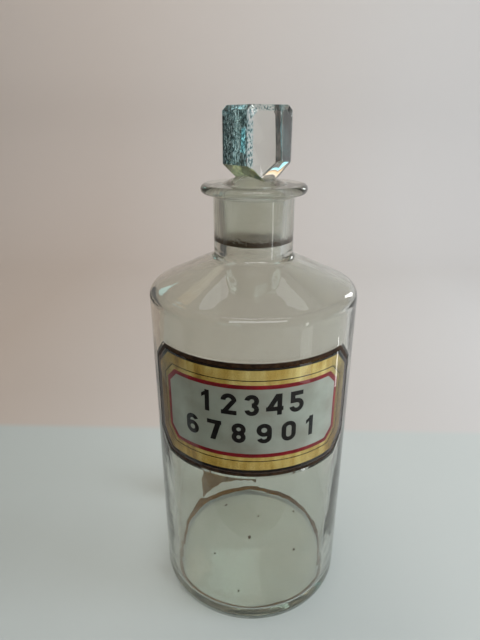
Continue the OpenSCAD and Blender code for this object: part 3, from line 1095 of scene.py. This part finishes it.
@dataclass
class CutStopper:
    """The stopper: a bevelled slab on a dome, and the ground plug under it, all one glass."""

    bottle: ShopRoundBottle
    head_w: float = 20.4
    head_t: float = 17.4
    head_z: float = 206.7
    waist_z: float = 188.2
    slope: float = 42.0
    bevel: float = 1.5
    top_bevel: float = 2.0
    corner: float = 1.8
    waist_drop: float = 1.3
    front_left_in: float = 2.2
    off_axis: float = 0.8
    turn: float = 30.0
    dome_h: float = 3.1

    def head_outline(self, half_w: float, top: float, waist: float, left_in: float) -> Profile:
        """The slab's outline in width and height. Its foot is buried in the dome.

        Args:
            half_w: Half its width.
            top: Height of its top.
            waist: Height where its sides turn in.
            left_in: How far its left side is moved in.

        Returns:
            Points of the right side, then of the left.
        """
        foot_z = self.bottle.lip_z - 0.5
        outline = []
        for side, wide, low in ((1, half_w, waist), (-1, half_w - left_in, waist - self.waist_drop)):
            least = 0.5 - (left_in if side < 0 else 0.0)
            foot = max(wide - (low - foot_z) / math.tan(math.radians(self.slope)), max(least, -0.5))
            half = [(foot, foot_z), (wide, low), (wide, top - self.corner), (wide - self.corner, top)]
            outline += [(side * x, z) for x, z in half]
        return outline

    def head(self, materials: list[Material]) -> Piece:
        """The bevelled slab, with its arrises taken off by a hair.

        Args:
            materials: One for each FlintFace, in that order.

        Returns:
            The slab, before it joins the plug.
        """
        mesh = bmesh.new()
        face = (self.head_w / 2 - self.bevel, self.head_z - self.top_bevel, self.waist_z - 0.8)
        middle = (self.head_w / 2, self.head_z, self.waist_z)
        for depth, sizes in ((self.head_t / 2, face), (self.head_t / 2 - self.bevel, middle)):
            for y, left_in in ((-depth, self.front_left_in), (depth, 0.0)):
                for x, z in self.head_outline(*sizes, left_in):
                    mesh.verts.new((x * MM, y * MM, z * MM))
        bmesh.ops.convex_hull(mesh, input=mesh.verts)
        flat = math.radians(0.5)
        bmesh.ops.dissolve_limit(mesh, angle_limit=flat, verts=mesh.verts, edges=mesh.edges)
        arris = {"offset": 0.2 * MM, "segments": 2, "profile": 0.5, "affect": "EDGES"}
        bmesh.ops.bevel(mesh, geom=mesh.edges[:], **arris)
        mesh.normal_update()
        right_from, wide_from, top_from, under_to, left_to = 0.3, 0.97, 0.9, -0.4, 0.25
        # Sort the faces by which way they face: right sides get painted shade; left sides, left bevels
        # and undersides get painted reflections.
        for side in mesh.faces:
            across, out, up = side.normal.x, abs(side.normal.y), side.normal.z
            if across > right_from and under_to < up < top_from:
                side.material_index = FlintFace.RIGHT
            elif out > wide_from or up > top_from or across > 0:
                side.material_index = FlintFace.WIDE
            elif up < under_to:
                side.material_index = FlintFace.UNDER
            else:
                side.material_index = FlintFace.LEFT if out < left_to else FlintFace.LEFT_BEVEL
        turn = math.radians(self.turn)
        for vert in mesh.verts:
            x, y = vert.co.x, vert.co.y
            vert.co.x = x * math.cos(turn) - y * math.sin(turn) + self.off_axis * MM
            vert.co.y = x * math.sin(turn) + y * math.cos(turn)
        return finish_mesh(mesh, "stopper_head", materials)

    def plug(self, materials: list[Material]) -> Piece:
        """The dome and the tapered plug, turned, with the head's materials.

        Args:
            materials: One for each FlintFace, in that order.

        Returns:
            The plug, before it joins the head.
        """
        b = self.bottle
        low_z, low_r = b.lip_z - b.plug_l, b.plug_r - b.plug_taper * b.plug_l
        dome_r = (b.plug_r**2 + self.dome_h**2) / (2 * self.dome_h)
        rise = math.degrees(math.acos(1 - self.dome_h / dome_r))
        profile = [(0, low_z + 0.5), (low_r - 1.5, low_z + 0.5), (low_r - 0.3, low_z + 0.15)]
        profile += [(low_r, low_z + 0.4), (b.plug_r, b.lip_z)]
        profile += arc(0, b.lip_z + self.dome_h - dome_r, dome_r, 90 - rise, 90, 14)[1:-1]
        profile += [(0, b.lip_z + self.dome_h)]
        mesh = bmesh.new()
        turned(mesh, spaced(profile, 1.5), 160)
        return finish_mesh(mesh, "stopper_plug", materials)

    def dress(self) -> None:
        """Join head and plug into one glass and frost the ground part."""
        look = {"shadow_tint": "fcfdfd", "ior": 1.52}
        glass = BlownGlass(
            "cut_flint_glass", "f2f5f3", ripple_mm=5.0, ripple_depth_mm=0.006, bloom=0.03, **look
        )
        frost = GroundGlass("ground_plug_glass", roughness=(0.04, 0.12), frost_share=0.05, stain_most=0.3)
        # Narrow faces of real flint break the room into sparks; tints and streaks stand in for these as
        # painted reflections: teal on the left sides, glints on the left bevels, olive underneath, and
        # painted shade on the right sides.
        # Each row: name, tint, dark and light streaks, their size, ripple size and depth, bloom.
        rows = (
            ("flint_sides_painted_teal_reflection", "2f5c60", "0a1e20", "a4e4ea", 0.6, 1.1, 0.07, 0.02),
            ("flint_bevels_painted_glints", "b4e0e4", "1f4a50", "ffffff", 0.5, 0.7, 0.07, 0.03),
            ("flint_underside_painted_reflection", "6f8a4c", "4a6136", "a9b468", 1.6, 1.6, 0.05, 0.02),
            ("flint_far_sides_painted_shade", "3e3b38", "1c1a19", "5e5b57", 1.2, 1.4, 0.05, 0.01),
        )
        narrow = [
            BlownGlass(
                name, tint, painted_reflection_streaks=(dark, light), reflection_streak_mm=streak, ripple_mm=ripple,
                ripple_depth_mm=depth, bloom=bloom, **look,
            )
            for name, tint, dark, light, streak, ripple, depth, bloom in rows
        ]
        materials = [finish.material() for finish in (glass, frost, *narrow)]
        head, plug = self.head(materials), self.plug(materials)
        union = plug.modifiers.new("join", "BOOLEAN")
        union.operation, union.solver, union.object = "UNION", "EXACT", head
        joined = plug.evaluated_get(bpy.context.evaluated_depsgraph_get())
        shape = bpy.data.meshes.new_from_object(joined)
        bpy.data.objects.remove(head)
        bpy.data.objects.remove(plug)
        mesh = bmesh.new()
        mesh.from_mesh(shape)
        bpy.data.meshes.remove(shape)
        for face in mesh.faces:
            if face.calc_center_median().z / MM < self.bottle.lip_z - 0.3:
                face.material_index = FlintFace.GROUND
        piece = finish_mesh(mesh, "cut_stopper", materials, 14)
        settle(piece, Body.STOPPER, "stopper_glass", "stopper")


# ---------------------------------------------------------------- what time has left


@dataclass
class AgedTraces:
    """The paper remnant outside and the dried residue inside."""

    bottle: ShopRoundBottle
    paper_left: float = 34.0
    paper_w: float = 38.0
    paper_z: float = 6.0
    paper_h: float = 26.0
    paper_t: float = 0.15
    speck_r: tuple[float, ...] = (1.2, 0.75, 0.6, 0.85, 0.65, 0.55, 0.75)

    def film(self, name: str, profile: Profile, finish: Residue, widths: tuple[float, float]) -> None:
        """Turn a film of residue whose width changes round the bottle.

        Args:
            name: The film's name.
            profile: Its section as radius and height, from the side that stays put.
            finish: Its residue.
            widths: Least and most share of the section that the film covers.
        """
        steps, waves, seed = 200, 1.8, 3.7
        low, high = widths
        mesh = bmesh.new()
        rings: list[list] = [[] for _ in profile]
        for i in range(steps):
            turn = 2 * math.pi * i / steps
            spot_on_ring = Vector((waves * math.cos(turn), waves * math.sin(turn), seed))
            sway = noise.fractal(spot_on_ring, 1.0, 2.0, 2)
            share = min(high, max(low, (low + high) / 2 + (high - low) * 0.9 * sway))
            for index, ring in enumerate(rings):
                spot = share * index
                k = min(int(spot), len(profile) - 2)
                t = spot - k
                r = profile[k][0] * (1 - t) + profile[k + 1][0] * t
                z = profile[k][1] * (1 - t) + profile[k + 1][1] * t
                ring.append(mesh.verts.new(Vector((r * math.sin(turn), -r * math.cos(turn), z)) * MM))
        for a, b in zip(rings, rings[1:]):
            for i in range(steps):
                j = (i + 1) % steps
                mesh.faces.new([a[i], a[j], b[j], b[i]])
        settle(finish_mesh(mesh, name, [finish.material()]), Body.BOTTLE, "brown_cement")

    def specks(self) -> None:
        """A few crumbs that lie on the base, and the mark of the blower's rod at its middle."""
        b = self.bottle
        golden_angle, sides = 2.399963, 9
        around = [2 * math.pi * i / sides for i in range(sides)]
        mesh = bmesh.new()
        for k, size in enumerate(self.speck_r):
            turn = 0.4 + golden_angle * k
            far = 0.0 if k == 0 else b.base_rim_r * math.sqrt((k + 0.6) / len(self.speck_r)) * 0.93
            x, y = far * math.sin(turn), -far * math.cos(turn)
            z = b.base_t + b.dish(far / b.base_rim_r) + 0.12
            spots = [
                (size * (0.7 + 0.3 * math.sin(5 * a + k)) * math.cos(a), size * math.sin(a))
                for a in around
            ]
            base = [mesh.verts.new(Vector((x + u, y + v, z)) * MM) for u, v in spots]
            top = mesh.verts.new(Vector((x, y, z + 0.6 * size)) * MM)
            for i in range(sides):
                mesh.faces.new([base[i], base[(i + 1) % sides], top])
            mesh.faces.new(base[::-1])
        crumbs = Paint("dried_crumbs", "2b2118", "5a4630", 0.8, 0.3).material()
        settle(finish_mesh(mesh, "crumbs_on_the_base", [crumbs]), Body.BOTTLE, "brown_cement")

    def paper(self) -> None:
        """The torn remnant: a thin curved sheet with a ragged lower edge."""
        r = self.bottle.body_r
        left = r * math.sin(self.paper_left / r)
        right = r * math.sin((self.paper_left - self.paper_w) / r)
        low, top = self.paper_z, self.paper_z + self.paper_h
        corners = [
            (left, low), (left, top), (left * 0.5, top - 3), (right, top - 1),
            (right, low + 1), (left * 0.6, low + 3.9), (left * 0.8, low + 3.2),
        ]
        middle = Vector((left * 0.5, (low + top) / 2 + 4))
        tear_step, tear_waves, grid = 0.6, 0.45, 1.5
        edge = []
        for (x0, z0), (x1, z1) in zip(corners, corners[1:] + corners[:1]):
            count = max(2, round(math.hypot(x1 - x0, z1 - z0) / tear_step))
            for i in range(count):
                point = Vector((x0 + (x1 - x0) * i / count, z0 + (z1 - z0) * i / count))
                where = Vector((point.x * tear_waves, point.y * tear_waves, 1.3))
                tear = 0.25 + 0.5 * noise.fractal(where, 1.0, 2.0, 3)
                edge.append(point + (middle - point).normalized() * max(0.05, tear))
        count = len(edge)
        inner = [Vector((x * grid, z * grid)) for x in range(-5, 24) for z in range(3, 24)]
        inner = [p for p in inner if min((p - e).length for e in edge) > 0.7]
        border = [(i, (i + 1) % count) for i in range(count)]
        flat, _, faces, _, _, _ = delaunay_2d_cdt(edge + inner, border, [list(range(count))], 1, 1e-6)
        mesh = bmesh.new()
        back, front = (
            [mesh.verts.new(Vector((-p.x, math.sqrt(radius**2 - p.x**2), p.y)) * MM) for p in flat]
            for radius in (r + 0.02, r + self.paper_t - 0.01)
        )
        for sheet in (back, front):
            for corners_of_face in faces:
                mesh.faces.new([sheet[i] for i in corners_of_face])
        on_back = set(back)
        for rim in [e for e in mesh.edges if len(e.link_faces) == 1 and e.verts[0] in on_back]:
            a, b = (back.index(v) for v in rim.verts)
            mesh.faces.new([back[a], back[b], front[b], front[a]])
        piece = finish_mesh(mesh, "torn_paper_remnant", [OldPaper().material()], 50)
        settle(piece, Body.BOTTLE, "old_paper", "paper_remnant")

    def dress(self) -> None:
        """Lay the films, scatter the crumbs and tear the paper."""
        b = self.bottle
        rim, low = b.base_rim_r, b.base_t + b.inner_corner
        corner = arc(rim, low, b.inner_corner - 0.1, -75, 0, 8)
        wall = [(rim + b.inner_corner - 0.15, low + up) for up in (1.5, 4.5)]
        tidemark = Residue("dried_tincture_base", "78561f", "402a10", (0.3, 0.5), 5.0, 0.88, 1.0)
        self.film("base_residue_ring", corner + wall, tidemark, (0.55, 1.0))
        steps = 8
        veil = [(rim * k / steps, b.base_t + b.dish(k / steps) + 0.05) for k in range(steps, 0, -1)]
        haze = Residue("dried_tincture_veil", "c9bda3", "a9987a", (0.4, 0.8), 14.0, 0.02, 0.1)
        self.film("base_veil", veil, haze, (1.0, 1.0))
        self.specks()
        self.paper()


# ---------------------------------------------------------------- studio


@dataclass(frozen=True)
class Card:
    """A card beside the object, out of the camera's sight, that shows only in the glass and the gold.

    Its colours run along X, from 0 at -0.5 m to 1 at +0.5 m. One colour alone is full at -0.5 m and
    pales to white at +0.5 m.

    Attributes:
        name: The card's name.
        colours: One hex colour, or stops along X.
        corners: Its corners in order, in millimetres.
        glow: How brightly it shines by itself.
        shows: Where it is seen.
    """

    name: str
    colours: str | Stops
    corners: Corners
    glow: float = 0.0
    shows: Shows = Shows.MIRRORED

    def stand(self) -> None:
        """Make the card and put it in the studio."""
        material, tree = new_material(self.name + "_paper")
        along = {"Value": place_along(tree, "X"), "From Min": -0.5, "From Max": 0.5}
        share = {"Fac": add_node(tree, "ShaderNodeMapRange", along)}
        plain = isinstance(self.colours, str)
        stops = [(0.0, self.colours), (1.0, "ffffff")] if plain else self.colours
        colour = add_node(tree, "ShaderNodeValToRGB", share, stops)
        paper = {"Base Color": colour, "Roughness": 0.9}
        if self.glow:
            paper |= {"Emission Color": colour, "Emission Strength": self.glow}
        mesh = bmesh.new()
        mesh.faces.new([mesh.verts.new(Vector(corner) * MM) for corner in self.corners])
        board = finish_mesh(mesh, self.name, [solid_finish(material, tree, paper)])
        board.visible_camera = board.visible_shadow = board.visible_diffuse = False
        board.visible_transmission = self.shows is not Shows.MIRRORED
        board.visible_glossy = self.shows is not Shows.THROUGH


def both_sides(name: str, colours: str, corners: Corners, glow: float = 0.0) -> list[Card]:
    """A card on the left and the same card on the right, numbered 0 and 2.

    Args:
        name: The start of both cards' names.
        colours: Their colour.
        corners: The right card's corners.
        glow: How brightly they shine by themselves.

    Returns:
        The left card and the right card.
    """
    return [
        Card(f"{name}_{side + 1}", colours, tuple((side * x, y, z) for x, y, z in corners), glow)
        for side in (-1, 1)
    ]


@dataclass(frozen=True)
class Studio:
    """Floor, backdrop, soft lights and the camera."""

    camera_place: tuple[float, float, float] = (0.0, -183.5, 201.4)
    camera_down_deg: float = 22.5
    camera_left_deg: float = 1.63
    lens_mm: float = 27.0

    def camera(self) -> None:
        """A phone-like wide camera at arm's length, looking down."""
        data = bpy.data.cameras.new("camera")
        data.lens, data.sensor_width = self.lens_mm, 36.0
        data.clip_start, data.clip_end = 0.01, 20
        camera = bpy.data.objects.new("camera", data)
        camera.location = Vector(self.camera_place) * MM
        camera.rotation_euler = (
            math.radians(90 - self.camera_down_deg), 0, math.radians(self.camera_left_deg)
        )
        bpy.context.scene.collection.objects.link(camera)
        bpy.context.scene.camera = camera

    def sweep(self) -> None:
        """A pale table top that runs into a pinkish wall through a wide curve, with painted shade: both
        darker on the left, and the wall darker low down.
        """
        mesh = bmesh.new()
        curve = arc(500, 220, 220, -90, 0, 24)
        path = [(-900, 0), (-300, 0), (0, 0), (98, 0), (280, 0), *curve, (720, 1100)]
        columns = (-1500, -500, 0, 500, 1500)
        rows = [[mesh.verts.new((x * MM, y * MM, z * MM)) for x in columns] for y, z in path]
        for a, b in zip(rows, rows[1:]):
            for k in range(len(columns) - 1):
                mesh.faces.new([a[k], a[k + 1], b[k + 1], b[k]])
        material, tree = new_material("matt_paper_sweep")
        away = place_along(tree, "Y")
        join = {"Value": away, "From Min": 0.098, "From Max": 0.104}
        back = add_node(tree, "ShaderNodeMapRange", join)
        width = {"Value": place_along(tree, "X"), "From Min": -0.25, "From Max": 0.25}
        right = add_node(tree, "ShaderNodeMapRange", width)
        up = add_node(tree, "ShaderNodeMath", {0: away, 1: place_along(tree, "Z")}, operation="ADD")
        rise = {"Value": up, "From Min": 0.15, "From Max": 1.0}
        high = add_node(tree, "ShaderNodeMapRange", rise)
        # Painted shade: the table and the wall are darker on the left, and the wall is darker low down
        # than high up.
        tones = (("acb6b4", "cdd5d2"), ("b3a89d", "d5d7d6"), ("ddd5cd", "e3e1dd"))
        table, shaded_low_wall, high_wall = (
            add_node(tree, "ShaderNodeValToRGB", {"Fac": right}, [(0.0, left_tone), (1.0, right_tone)])
            for left_tone, right_tone in tones
        )
        walls = {0: high, COLOUR_A: shaded_low_wall, COLOUR_B: high_wall}
        wall = add_node(tree, "ShaderNodeMix", walls, data_type="RGBA").outputs[COLOUR_OUT]
        both = {0: back, COLOUR_A: table, COLOUR_B: wall}
        colour = add_node(tree, "ShaderNodeMix", both, data_type="RGBA").outputs[COLOUR_OUT]
        paper = solid_finish(material, tree, {"Base Color": colour, "Roughness": 0.8})
        finish_mesh(mesh, "floor", [paper])

    def lamp(self, name: str, place: tuple, aim: tuple, size: tuple, watts: float, colour: str) -> None:
        """Hang a soft rectangular lamp, in millimetres, that glass neither mirrors nor shows.

        Args:
            name: Its name.
            place: Where it hangs.
            aim: The place that it faces.
            size: Its width and height.
            watts: Its power.
            colour: Its sRGB hex colour.
        """
        data = bpy.data.lights.new(name, "AREA")
        data.shape, data.size, data.size_y = "RECTANGLE", size[0] * MM, size[1] * MM
        data.energy, data.color = watts, linear(colour)[:3]
        lamp = bpy.data.objects.new(name, data)
        lamp.location = Vector(place) * MM
        lamp.rotation_euler = (Vector(place) - Vector(aim)).to_track_quat("Z", "Y").to_euler()
        lamp.visible_camera = lamp.visible_glossy = lamp.visible_transmission = False
        bpy.context.scene.collection.objects.link(lamp)

    def cards(self) -> list[Card]:
        """Every card, in the order in which they are set up.

        Returns:
            The cards.
        """
        grey = [(0.0, "4c4a47"), (0.42, "6b6864"), (0.6, "989793"), (0.75, "c6c9c6")]
        sky = [
            (0.145, "a8f0ff"), (0.152, "effcff"), (0.158, "6b4a2c"), (0.17, "ecc898"), (0.21, "f4e8d6")
        ]
        return [
            Card("front_card", grey, ((-700, -85, 1), (300, -85, 1), (300, -900, 1), (-700, -900, 1))),
            *both_sides(
                "side_shade", "16120e", ((110, -20, 2), (110, 150, 2), (200, 210, 2), (200, -20, 2))
            ),
            Card(
                "window_patch", "dfe8f0",
                ((178, -158, 3), (206, -112, 3), (322, -158, 3), (280, -232, 3)), 0.6,
            ),
            Card(
                "window_strip", "f4f8ff", ((205, 37, 4), (300, 64, 4), (302, 54, 4), (207, 29, 4)), 4.0
            ),
            Card(
                "window_end", "f4f8ff",
                ((445, 393, 230), (375, 457, 230), (375, 457, 430), (445, 393, 430)), 7.0,
            ),
            Card(
                "window_bar", "e8f2fa",
                ((-260, -560, 500), (420, -560, 500), (420, -500, 700), (-260, -500, 700)), 4.0,
            ),
            Card(
                "window_rail", "e8f2fa",
                ((-300, -330, 760), (420, -330, 760), (420, -275, 770), (-300, -275, 770)), 4.0,
            ),
            Card(
                "teal_pane", "7fd0cc",
                ((-300, 280, 290), (-240, 350, 290), (-240, 350, 345), (-300, 280, 345)), 2.0,
            ),
            Card(
                "door_gap", "eef6ff",
                ((314, -243, 30), (334, -227, 30), (334, -227, 140), (314, -243, 140)), 5.0,
            ),
            *both_sides(
                "ceiling_light", "eef4ff",
                ((150, 230, 745), (320, 250, 745), (300, 340, 745), (170, 320, 745)), 0.9,
            ),
            *(
                Card(
                    f"ceiling_spot_{k}", "ffe9c8",
                    ((x, -750, 790), (x + 28, -750, 790), (x + 28, -700, 930), (x, -700, 930)), 40.0,
                )
                for k, x in enumerate(range(75, 500, 85))
            ),
            Card(
                "teal_card", "5fb4bc",
                ((700, -620, 0), (700, -220, 0), (700, -220, 270), (700, -620, 270)), 0.3, Shows.THROUGH,
            ),
            Card(
                "pane_card", "bfeef6",
                ((-230, 350, 745), (60, 350, 745), (60, 620, 745), (-230, 620, 745)), 1.6, Shows.THROUGH,
            ),
            Card(
                "door_card", "9fdde4",
                ((-560, -745, 60), (-130, -745, 60), (-130, -745, 380), (-560, -745, 380)),
                0.9, Shows.THROUGH,
            ),
            Card(
                "sky_card", sky,
                ((-440, 290, 520), (-220, 440, 520), (-220, 400, 640), (-440, 250, 640)),
                0.9, Shows.THROUGH,
            ),
            Card(
                "left_flag", "0c0b0b",
                ((-380, 60, 0), (-330, 480, 0), (-330, 480, 420), (-380, 60, 420)), shows=Shows.BOTH,
            ),
        ]

    def room(self) -> None:
        """Even light from all round, warm on the left and brighter from behind."""
        world = bpy.data.worlds.new("room")
        world.use_nodes = True
        tree = world.node_tree
        tree.nodes.clear()
        sight = add_node(tree, "ShaderNodeTexCoord").outputs["Generated"]
        way = add_node(tree, "ShaderNodeSeparateXYZ", {"Vector": sight})
        width = {"Value": way.outputs["X"], "From Min": -1.0, "From Max": 1.0}
        depth = {
            "Value": way.outputs["Y"], "From Min": -1.0, "From Max": 0.4, "To Min": 0.35, "To Max": 0.6
        }
        right = {"Fac": add_node(tree, "ShaderNodeMapRange", width)}
        tone = add_node(tree, "ShaderNodeValToRGB", right, [(0.0, "a3978c"), (1.0, "dfe2e4")])
        light = {"Color": tone, "Strength": add_node(tree, "ShaderNodeMapRange", depth)}
        sky = add_node(tree, "ShaderNodeBackground", light)
        add_node(tree, "ShaderNodeOutputWorld", {"Surface": sky})
        bpy.context.scene.world = world

    def dress(self) -> None:
        """Set up the whole studio."""
        self.camera()
        self.sweep()
        self.lamp("top_softbox", (-150, 100, 1000), (0, 0, 60), (600, 500), 4.2, "fff3e8")
        self.lamp("window_softbox", (850, -200, 600), (0, 0, 100), (350, 700), 6.5, "eaf2ff")
        for card in self.cards():
            card.stand()
        self.room()


def main() -> None:
    """Build every piece in order and report it."""
    logging.basicConfig(level=logging.INFO, format="%(name)s: %(message)s")
    Studio().dress()
    bottle = ShopRoundBottle()
    panel = LabelPanel(bottle.body_r)
    bottle.dress(panel)
    panel.dress()
    CutStopper(bottle).dress()
    AgedTraces(bottle).dress()
    scene = bpy.context.scene
    scene.view_settings.view_transform = "Standard"
    scene.cycles.max_bounces = 24
    scene.cycles.glossy_bounces = 16
    scene.cycles.diffuse_bounces = 8
    scene.cycles.transmission_bounces = 24
    scene.cycles.transparent_max_bounces = 24


if __name__ == "__main__":
    main()
